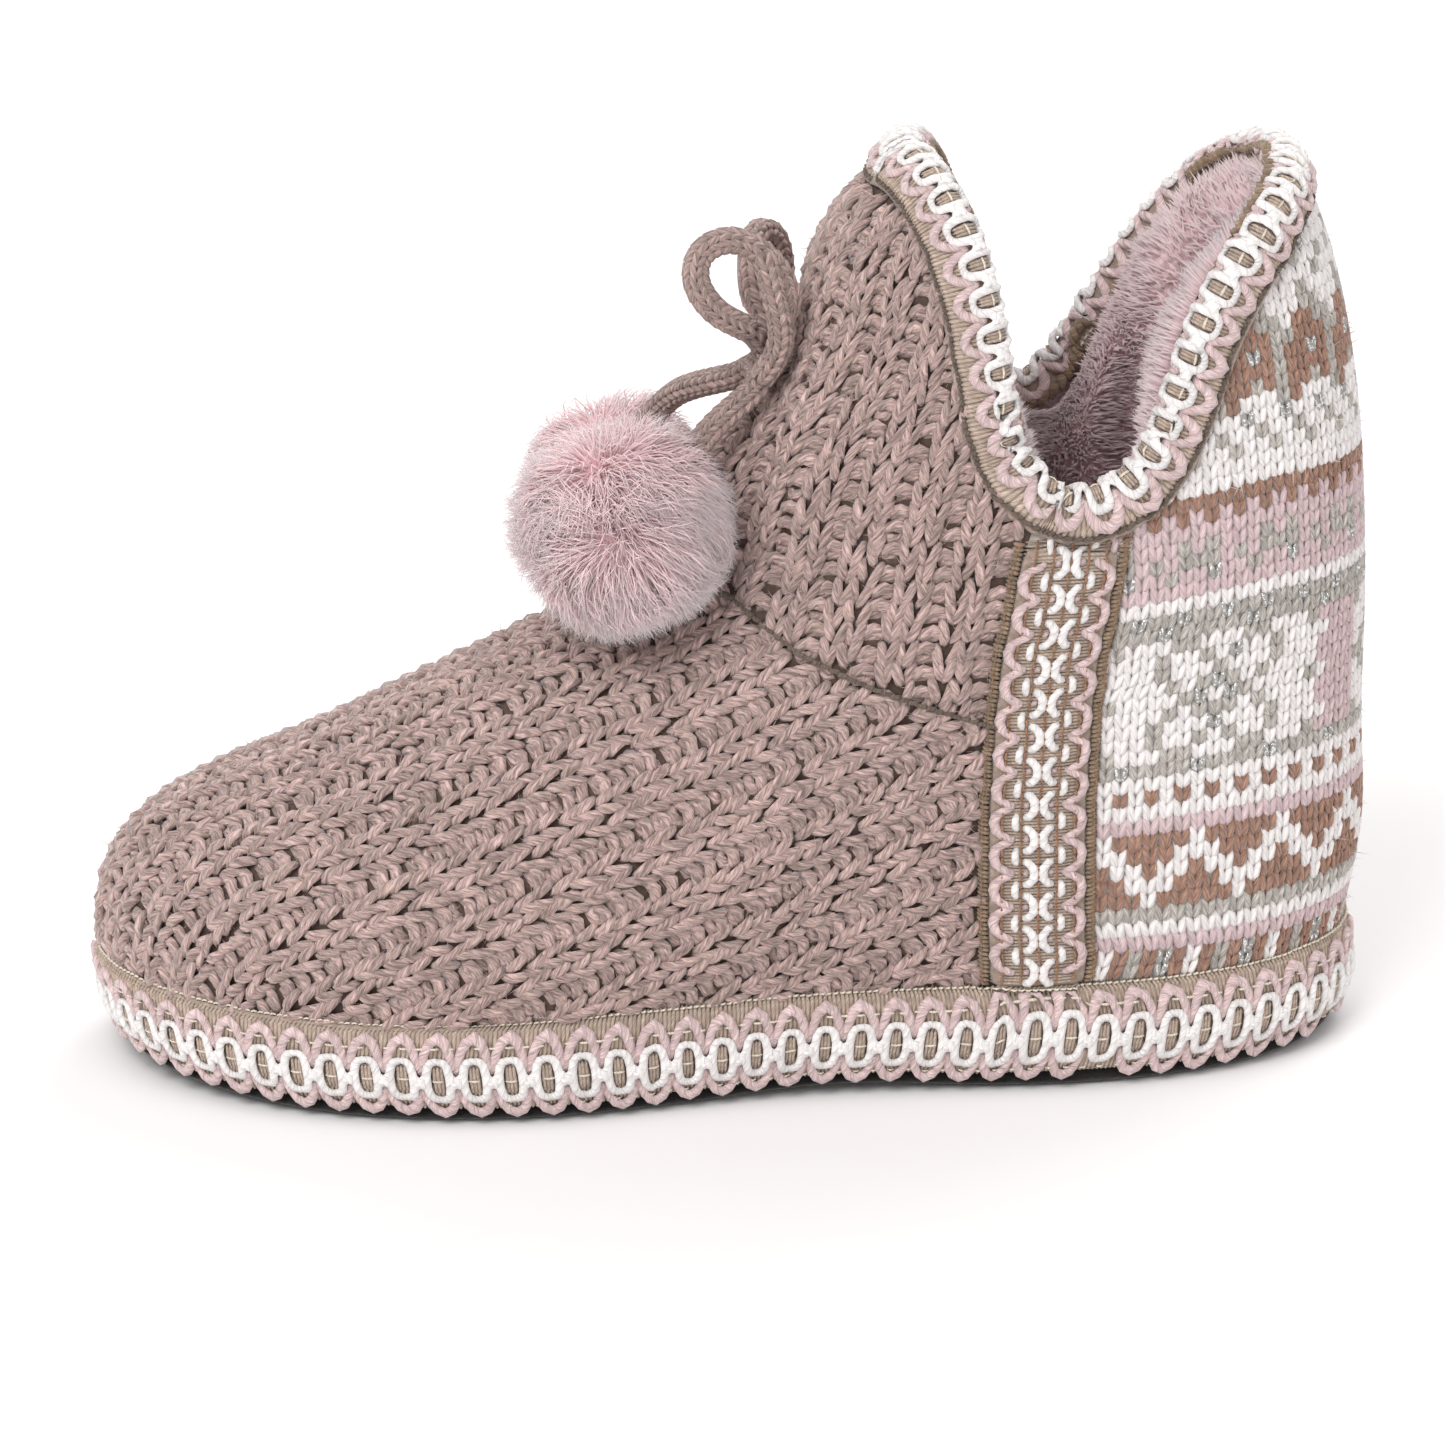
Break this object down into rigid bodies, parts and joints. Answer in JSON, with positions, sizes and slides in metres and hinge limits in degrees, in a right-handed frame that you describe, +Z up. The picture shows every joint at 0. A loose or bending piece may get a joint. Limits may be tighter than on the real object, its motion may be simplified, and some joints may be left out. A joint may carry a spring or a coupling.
{
  "type": "bootie slipper",
  "caption": "Knitted bootie slipper for a left foot, with a patterned heel, braid trims, fur lining and a drawcord bow with two pompoms.",
  "frame": {"origin": "bottom centre of the bounding box, on the floor under the middle of the sole", "axes": "-X toward the toe, +X toward the heel, -Y toward the outer side of the left foot, +Z up"},
  "size_m": [0.2691, 0.0994, 0.1957],
  "materials": {
    "knit": "matt",
    "braid": "matt",
    "sole": "matt",
    "footbed": "matt",
    "cord": "matt",
    "pompom": "matt"
  },
  "bodies": {
    "root": {"upper": "knit", "outsole": "sole", "insole": "footbed", "sole_braid": "braid", "side_braid_outer": "braid", "side_braid_inner": "braid", "collar_braid": "braid", "drawcord_knot": "cord", "drawcord_loop_outer": "cord", "drawcord_loop_inner": "cord", "drawcord_end_outer": "cord", "drawcord_end_inner": "cord", "pompom_outer": "pompom", "pompom_inner": "pompom"}
  },
  "joints": []
}
